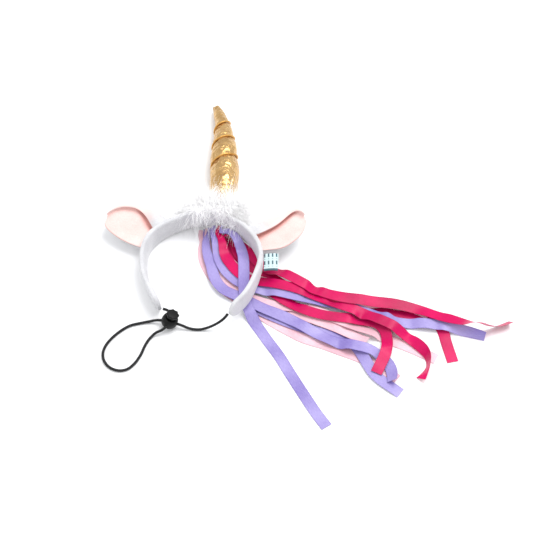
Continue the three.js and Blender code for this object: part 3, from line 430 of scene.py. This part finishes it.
def pick(piece):
    """Selects this piece alone."""
    if bpy.context.object and bpy.context.object.mode != "OBJECT":
        bpy.ops.object.mode_set(mode="OBJECT")
    bpy.ops.object.select_all(action="DESELECT")
    piece.select_set(True)
    bpy.context.view_layer.objects.active = piece


def copy_of(node, name):
    """A piece with the merged mesh of a CAD node."""
    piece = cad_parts[node].copy()
    piece.data = piece.data.copy()
    piece.parent = None
    piece.name = name
    bpy.context.scene.collection.objects.link(piece)
    pick(piece)
    bpy.ops.object.mode_set(mode="EDIT")
    bpy.ops.mesh.select_all(action="SELECT")
    bpy.ops.mesh.remove_doubles(threshold=MERGE_DISTANCE)
    bpy.ops.mesh.customdata_custom_splitnormals_clear()
    bpy.ops.object.mode_set(mode="OBJECT")
    return piece


def quads(piece):
    pick(piece)
    bpy.ops.object.mode_set(mode="EDIT")
    bpy.ops.mesh.select_all(action="SELECT")
    bpy.ops.mesh.tris_convert_to_quads(face_threshold=math.radians(60), shape_threshold=math.radians(60))
    bpy.ops.object.mode_set(mode="OBJECT")


def apply_modifier(piece, kind, **settings):
    pick(piece)
    modifier = piece.modifiers.new(kind.lower(), kind)
    for label, value in settings.items():
        setattr(modifier, label, value)
    bpy.ops.object.modifier_apply(modifier=modifier.name)


def subdivide(piece, levels):
    apply_modifier(piece, "SUBSURF", levels=levels, render_levels=levels)


def dress(piece, material, node, body="headband"):
    """Gives a piece its finish and puts it in the place of its CAD node."""
    piece.data.materials.clear()
    piece.data.materials.append(material)
    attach(piece, body)
    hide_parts(node)
    return piece


def uneven(p, waves):
    """The height at a point of a few noises, each given by its waves per metre and its height."""
    return sum(noise.noise(p * rate) * height for rate, height in waves)


def new_piece(name, points, faces, uvs=None):
    """A piece from its own points and faces, with a place on its UV map for each point."""
    mesh = bpy.data.meshes.new(name)
    mesh.from_pydata([tuple(p) for p in points], [], faces)
    if uvs:
        layer = mesh.uv_layers.new(name="UVMap")
        for loop in mesh.loops:
            layer.data[loop.index].uv = uvs[loop.vertex_index]
    mesh.update()
    piece = bpy.data.objects.new(name, mesh)
    bpy.context.scene.collection.objects.link(piece)
    return piece


# The padded strip. Its seam runs across the right arm, at this place along the arm.

SEAM_PLACE = -29 * MM
SEAM_ARM_FROM = -60 * MM
SEAM_WIDTH = 1.1 * MM
SEAM_DEPTH = 0.5 * MM
STRIP_SOFTNESS = ((45, 0.5 * MM), (130, 0.15 * MM))


def make_strip():
    piece = copy_of("headband_strip", "strip_sleeve")
    quads(piece)
    subdivide(piece, 2)
    for vertex in piece.data.vertices:
        p = vertex.co
        from_seam = abs(p.y - SEAM_PLACE) if p.x > SEAM_ARM_FROM else 1
        crease = math.exp(-((from_seam / SEAM_WIDTH) ** 2)) * SEAM_DEPTH
        vertex.co = p + vertex.normal * (uneven(p, STRIP_SOFTNESS) - crease)
        vertex.co.z = max(vertex.co.z, 0.0)
    bpy.ops.object.shade_smooth()
    dress(piece, WHITE_PLUSH, "headband_strip")


# The horn and its cord

HORN_PUFFS = ((95, 0.9 * MM), (260, 0.35 * MM))


def make_horn():
    piece = copy_of("horn", "horn_cloth")
    quads(piece)
    subdivide(piece, 3)
    for vertex in piece.data.vertices:
        vertex.co += vertex.normal * uneven(vertex.co, HORN_PUFFS)
    bpy.ops.object.shade_smooth()
    dress(piece, GOLD_LAME, "horn")
    cord = copy_of("horn_cord", "horn_groove_cord")
    quads(cord)
    subdivide(cord, 2)
    bpy.ops.object.shade_smooth()
    dress(cord, GOLD_CORD, "horn_cord")


# The ears

def from_line(p, line):
    """How far a point is from a broken line, seen from above."""
    best = 1.0
    for a, b in zip(line, line[1:]):
        a = Vector(a) * MM + shift.xy
        b = Vector(b) * MM + shift.xy
        t = max(0, min(1, (p.xy - a).dot(b - a) / (b - a).length_squared))
        best = min(best, (p.xy - a.lerp(b, t)).length)
    return best


# Each ear's fold, from its tip to its root, in millimetres from the middle of the head opening
LEFT_CREASE = [(-61.4, 67), (-57.4, 56.5), (-50.4, 44.5)]
RIGHT_CREASE = [(90, 62), (73, 44.5), (56, 33)]
CREASE_WIDTH = 4.4 * MM
CREASE_DEPTH = 2.8 * MM
# How strongly painted shade darkens the lining along the fold
CREASE_PAINTED_SHADE = 0.9
EAR_SOFTNESS = ((60, 0.7 * MM),)

# How far out from its root an ear's flap shows its lining, over how far that fades in, and how sharply
# it ends where the plush turns down
LINED_FROM = 9 * MM
LINED_BLEND = 16 * MM
UPPER_SIDE = 3


def make_ear(side, crease):
    for part, material, slot in (
        ("lining", PINK_PLUSH, "pink_plush"),
        ("back", EAR_BACK, "white_plush"),
    ):
        piece = copy_of(f"ear_{side}_{part}", f"ear_{side}_{part}_cloth")
        quads(piece)
        subdivide(piece, 2)
        # The "crease" attribute holds painted shade along the fold, strongest on the fold line.
        shade = piece.data.attributes.new("crease", "FLOAT", "POINT")
        lined = piece.data.attributes.new("lined", "FLOAT", "POINT")
        root = min((v.co.xy - shift.xy).length for v in piece.data.vertices)
        for vertex in piece.data.vertices:
            p = vertex.co
            near = math.exp(-((from_line(p, crease) / CREASE_WIDTH) ** 2))
            soft = uneven(Vector((p.x, p.y, 0)), EAR_SOFTNESS)
            shade.data[vertex.index].value = CREASE_PAINTED_SHADE * near
            out = (p.xy - shift.xy).length - root - LINED_FROM
            upper = max(0, min(1, vertex.normal.z * UPPER_SIDE))
            lined.data[vertex.index].value = upper * max(0, min(1, out / LINED_BLEND))
            vertex.co.z = p.z - near * CREASE_DEPTH + soft
        bpy.ops.object.shade_smooth()
        dress(piece, material, f"ear_{side}_{part}")


# The feather trim

STRANDS = 6500
STRAND_TOP = 43 * MM
STRAND_STEPS = 5
STRAND_FLOOR = 0.5 * MM
STRAND_WIDTHS = (0.1 * MM, 0.26 * MM)
STRAND_CURL = 0.55
STRAND_TAPER = 0.8

# The shortest, longest and commonest length of a strand, on the trim's surface and in its tufts
DOWN_LENGTHS = (6 * MM, 25 * MM, 10 * MM)
TUFT_LENGTHS = (9 * MM, 28 * MM, 15 * MM)
DOWN_DROOP = 0.2

# Longer tufts: the box that they start in, in millimetres from the middle of the head opening, the way
# that they lie, how far they droop and how many there are
TUFTS = (
    ((2, 57, 25), (40, 67, 33), (0, 0.9, 0.5), 0.35, 900),
    ((-12, 52, 31), (30, 58, 35), (0, -0.4, 0.65), 0.8, 420),
)


def stray():
    return Vector([random.gauss(0, 1) for _ in range(3)])


def strand(p, way, length, droop):
    """The points of a thin tapering strip that curls and droops, two at each step."""
    curl = stray() * STRAND_CURL
    across = way.cross(Vector((random.gauss(0, 0.35), random.gauss(0, 0.35) - 0.3, 1))).normalized()
    width = random.uniform(*STRAND_WIDTHS)
    points = []
    for step in range(STRAND_STEPS + 1):
        t = step / STRAND_STEPS
        q = p + (way * t + curl * t * t * 0.5 - Vector((0, 0, droop)) * t * t) * length
        q.z = min(max(q.z, STRAND_FLOOR), STRAND_TOP)
        side = across * width * (1 - STRAND_TAPER * t)
        points += [q - side, q + side]
    return points


def make_trim():
    random.seed(7)
    core = copy_of("feather_trim", "down_core")
    middle = middle_of([vertex.co for vertex in core.data.vertices])
    mesh = core.data
    mesh.calc_loop_triangles()
    corners = [vertex.co.copy() for vertex in mesh.vertices]
    triangles = [(t.vertices[:], t.normal.copy(), t.area) for t in mesh.loop_triangles]
    weights = [area for _, _, area in triangles]
    strands = []
    for _ in range(STRANDS):
        (a, b, c), normal, _ = random.choices(triangles, weights)[0]
        u, v = random.random(), random.random()
        if u + v > 1:
            u, v = 1 - u, 1 - v
        p = corners[a] + (corners[b] - corners[a]) * u + (corners[c] - corners[a]) * v
        away = (p - middle).normalized()
        way = (normal * 0.5 + away * 0.6 + stray() * 0.55 + Vector((0, 0.1, 0.25))).normalized()
        strands.append(strand(p, way, random.triangular(*DOWN_LENGTHS), DOWN_DROOP))
    for low, high, main, droop, count in TUFTS:
        for _ in range(count):
            p = shift + Vector([random.uniform(a, b) for a, b in zip(low, high)]) * MM
            way = (Vector(main) + stray() * 0.4).normalized()
            strands.append(strand(p, way, random.triangular(*TUFT_LENGTHS), droop))
    points = [p for line in strands for p in line]
    faces = []
    for first in range(0, len(points), 2 * (STRAND_STEPS + 1)):
        for step in range(STRAND_STEPS):
            k = first + 2 * step
            faces.append((k, k + 1, k + 3, k + 2))
    down = new_piece("down_strands", points, faces)
    apply_modifier(core, "REMESH", mode="VOXEL", voxel_size=1.3 * MM)
    apply_modifier(core, "SMOOTH", factor=0.6, iterations=6)
    bpy.ops.object.shade_smooth()
    dress(core, WHITE_DOWN, "feather_trim")
    down.data.materials.append(WHITE_DOWN)
    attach(down, "headband")


# The label

def make_label():
    piece = copy_of("side_label", "label_tape")
    pick(piece)
    bpy.ops.object.mode_set(mode="EDIT")
    bpy.ops.mesh.select_all(action="SELECT")
    bpy.ops.mesh.subdivide(number_cuts=3, smoothness=0.0)
    bpy.ops.object.mode_set(mode="OBJECT")
    layer = piece.data.uv_layers.active or piece.data.uv_layers.new(name="UVMap")
    low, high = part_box("side_label")
    for loop in piece.data.loops:
        p = piece.data.vertices[loop.vertex_index].co
        layer.data[loop.index].uv = (p.x - low.x, high.y - p.y)
    dress(piece, WOVEN_LABEL, "side_label")


# The ribbons of the mane

EASE_LIMIT = 0.25 * MM
RIBBON_COLUMNS = 6
RIBBON_STEPS = 4
RIBBON_WAVE = 0.15 * MM
TABLE_GAP = 0.05 * MM
ROOT_PLACE = (16, 60)

def ribbon_stations(node):
    """The middles of a CAD ribbon's left and right edge at each of its stations, from its root."""
    mesh = bmesh.new()
    mesh.from_mesh(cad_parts[node].data)
    bmesh.ops.remove_doubles(mesh, verts=mesh.verts, dist=MERGE_DISTANCE)
    root = shift.xy + Vector(ROOT_PLACE) * MM
    seed = min(mesh.verts, key=lambda v: (v.co.xy - root).length)
    layer = sorted(mesh.verts, key=lambda v: (v.co - seed.co).length)[:4]
    seen = set()
    stations = []
    last = None
    while layer:
        seen.update(layer)
        first = layer[0]
        rest = sorted(layer[1:], key=lambda v: (v.co - first.co).length)
        one = (first.co + rest[0].co) / 2
        other = (rest[1].co + rest[2].co) / 2
        if last and (one - last[0]).length + (other - last[1]).length > (
            (one - last[1]).length + (other - last[0]).length
        ):
            one, other = other, one
        last = (one, other)
        stations.append(last)
        layer = list({e.other_vert(v) for v in layer for e in v.link_edges} - seen)
    mesh.free()
    return stations


def eased(points):
    """The same points with their heights evened out along the line, within the CAD ribbon's wall."""
    out = [p.copy() for p in points]
    for before, p, after, q in zip(points, points[1:], points[2:], out[1:]):
        change = (before.z - 2 * p.z + after.z) / 4
        q.z = p.z + max(-EASE_LIMIT, min(EASE_LIMIT, change))
    return out


def make_ribbon(node, colour):
    stations = ribbon_stations(node)
    left = smooth_curve(eased([a for a, _ in stations]), RIBBON_STEPS)
    right = smooth_curve(eased([b for _, b in stations]), RIBBON_STEPS)
    columns = RIBBON_COLUMNS
    points, faces, uvs = [], [], []
    along = 0.0
    half = RIBBON_THICKNESS / 2
    for i, (a, b) in enumerate(zip(left, right)):
        if i:
            along += ((a + b) / 2 - (left[i - 1] + right[i - 1]) / 2).length
        for j in range(columns + 1):
            share = j / columns
            p = a.lerp(b, share)
            wave = noise.noise(Vector((along * 40, share * 1.5, len(node)))) * RIBBON_WAVE
            p.z = max(p.z + wave * math.sin(share * math.pi), half + TABLE_GAP)
            points.append(p)
            uvs.append((share * RIBBON_WIDTH, along))
        if i:
            for j in range(columns):
                k = i * (columns + 1) + j
                faces.append((k - columns - 1, k - columns, k + 1, k))
    piece = new_piece(node.replace("ribbon", "satin"), points, faces, uvs)
    if piece.data.polygons[0].normal.z < 0:
        piece.data.flip_normals()
    apply_modifier(piece, "SOLIDIFY", thickness=RIBBON_THICKNESS, offset=0.0)
    pick(piece)
    bpy.ops.object.shade_smooth_by_angle(angle=math.radians(40))
    dress(piece, SATINS[colour], node)
    print("RIBBON", node, round(along, 3))


# The chin cord and its lock

CORD_SIDES = 12
LOCK_EDGE = 0.25 * MM


def make_cord():
    sides = CORD_SIDES
    points, faces, uvs = [], [], []
    along = 0.0
    side = Vector((0, 0, 1))
    for i, p in enumerate(cord_line):
        ahead = cord_line[min(i + 1, len(cord_line) - 1)]
        behind = cord_line[max(i - 1, 0)]
        way = (ahead - behind).normalized()
        side = (side - way * side.dot(way)).normalized()
        other = way.cross(side)
        if i:
            along += (p - cord_line[i - 1]).length
        for j in range(sides + 1):
            angle = 2 * math.pi * j / sides
            points.append(p + (side * math.cos(angle) + other * math.sin(angle)) * CORD_DIAMETER / 2)
            uvs.append((j / sides, along))
        if i:
            for j in range(sides):
                k = i * (sides + 1) + j
                faces.append((k - sides - 1, k, k + 1, k - sides))
    for ring, end in ((0, cord_line[0]), (len(cord_line) - 1, cord_line[-1])):
        points.append(end)
        uvs.append((0.5, 0.0))
        middle = len(points) - 1
        for j in range(sides):
            k = ring * (sides + 1) + j
            faces.append((middle, k + 1, k) if ring == 0 else (middle, k, k + 1))
    piece = new_piece("elastic", points, faces, uvs)
    pick(piece)
    bpy.ops.object.mode_set(mode="EDIT")
    bpy.ops.mesh.select_all(action="SELECT")
    bpy.ops.mesh.remove_doubles(threshold=MERGE_DISTANCE)
    bpy.ops.mesh.normals_make_consistent(inside=False)
    bpy.ops.object.mode_set(mode="OBJECT")
    bpy.ops.object.shade_smooth()
    dress(piece, ELASTIC, "elastic_cord")
    return piece, along


def make_lock():
    pieces = []
    for node, name, body in (
        ("cord_lock_body", "lock_barrel", "headband"),
        ("cord_lock_button", "lock_cap", "lock_button"),
    ):
        piece = copy_of(node, name)
        pick(piece)
        bpy.ops.object.mode_set(mode="EDIT")
        bpy.ops.mesh.select_all(action="SELECT")
        bpy.ops.mesh.dissolve_limited(angle_limit=math.radians(2))
        bpy.ops.object.mode_set(mode="OBJECT")
        apply_modifier(
            piece, "BEVEL", width=LOCK_EDGE, segments=2, limit_method="ANGLE",
            angle_limit=math.radians(35),
        )
        bpy.ops.object.shade_smooth_by_angle(angle=math.radians(35))
        dress(piece, BLACK_PLASTIC, node, body)
        pieces.append(piece)
    return pieces


make_strip()
make_horn()
make_ear("left", LEFT_CREASE)
make_ear("right", RIGHT_CREASE)
make_trim()
make_label()
for ribbon, colour in (
    ("ribbon_pink_front", "pink"),
    ("ribbon_lavender_low", "lavender"),
    ("ribbon_pink_salmon", "pink"),
    ("ribbon_pink_broad", "pink"),
    ("ribbon_lavender_twist", "lavender"),
    ("ribbon_magenta_turn", "magenta"),
    ("ribbon_magenta_far", "magenta"),
    ("ribbon_pink_arc", "pink"),
    ("ribbon_lavender_long", "lavender"),
    ("ribbon_magenta_curl", "magenta"),
    ("ribbon_magenta_top", "magenta"),
    ("ribbon_lavender_free", "lavender"),
):
    make_ribbon(ribbon, colour)
lock_pieces = make_lock()
elastic, cord_length = make_cord()
print("CORD", round(cord_length, 4))


# Studio

def make_studio():
    bpy.ops.object.select_all(action="DESELECT")
    bpy.ops.mesh.primitive_plane_add(size=8, location=(0, 0, -0.0001))
    floor = bpy.context.object
    floor.name = "studio_floor"
    paper = bpy.data.materials.new("white paper")
    paper.use_nodes = True
    shader = paper.node_tree.nodes["Principled BSDF"]
    shader.inputs["Base Color"].default_value = (0.93, 0.93, 0.935, 1)
    shader.inputs["Roughness"].default_value = 0.9
    shader.inputs["Specular IOR Level"].default_value = 0.1
    floor.data.materials.append(paper)
    world = bpy.data.worlds.new("studio")
    world.use_nodes = True
    world.node_tree.nodes["Background"].inputs["Color"].default_value = (0.97, 0.98, 1, 1)
    world.node_tree.nodes["Background"].inputs["Strength"].default_value = 0.88
    bpy.context.scene.world = world
    bpy.context.scene.view_settings.view_transform = "Standard"
    for name, place, size, power in (
        ("key", (0.62, 0.5, 1.85), 1.2, 30),
        ("fill", (-1.2, -0.6, 1.6), 1.6, 6),
    ):
        data = bpy.data.lights.new(name, "AREA")
        data.size = size
        data.energy = power
        light = bpy.data.objects.new(name, data)
        light.location = look_at + Vector(place)
        light.rotation_euler = (-Vector(place)).to_track_quat("-Z", "Y").to_euler()
        bpy.context.scene.collection.objects.link(light)


make_studio()
